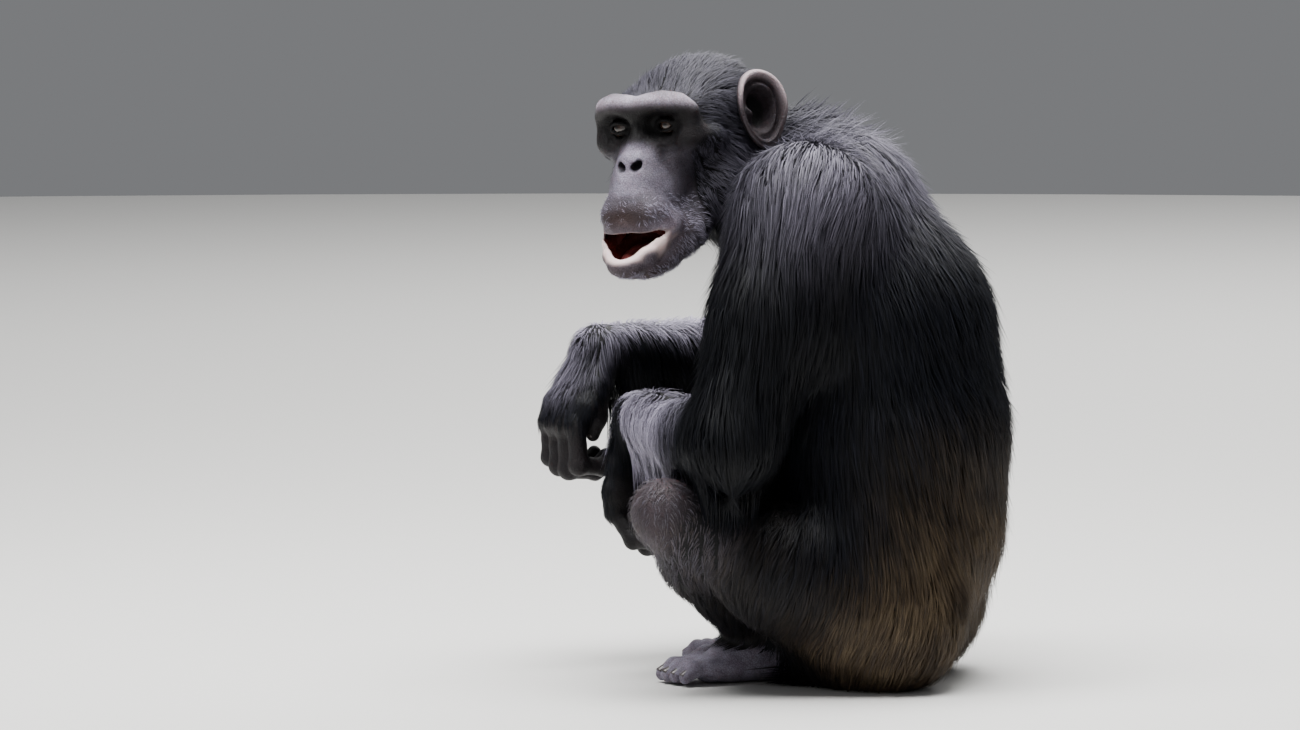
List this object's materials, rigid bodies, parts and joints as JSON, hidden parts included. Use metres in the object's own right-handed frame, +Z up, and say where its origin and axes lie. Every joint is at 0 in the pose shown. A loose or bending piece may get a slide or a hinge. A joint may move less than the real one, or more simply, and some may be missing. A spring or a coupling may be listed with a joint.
{
  "type": "chimpanzee, still life-size model",
  "caption": "Adult chimpanzee sitting hunched on the ground, knees drawn up and forearms resting across them, head turned over its left shoulder with the mouth slightly open.",
  "frame": {"origin": "middle of the box round the animal, on the ground under it", "axes": "+Z up, the chest faces -Y, +X is the animal's left"},
  "size_m": [0.5392, 0.4926, 0.625],
  "materials": {
    "coat": "long straight black hair, satin, browner over the rump",
    "bare_skin": "dark grey wrinkled skin, matte, lilac grey on the muzzle",
    "ear_skin": "brownish pink bare skin, matte",
    "eye": "wet, dark brown",
    "tongue": "wet, pink"
  },
  "bodies": {
    "root": {"upper_arm_left": "coat", "forearm_left": "coat", "upper_arm_right": "coat", "forearm_right": "coat", "thigh_left": "coat", "shin_left": "coat", "thigh_right": "coat", "shin_right": "coat", "neck": "coat", "torso": "coat", "head": "bare_skin", "lower_jaw": "bare_skin", "hand_right": "bare_skin", "hand_left": "bare_skin", "foot_left": "bare_skin", "foot_right": "bare_skin", "ear_left": "ear_skin", "ear_right": "ear_skin", "eye_left": "eye", "eye_right": "eye", "tongue": "tongue"}
  },
  "joints": []
}
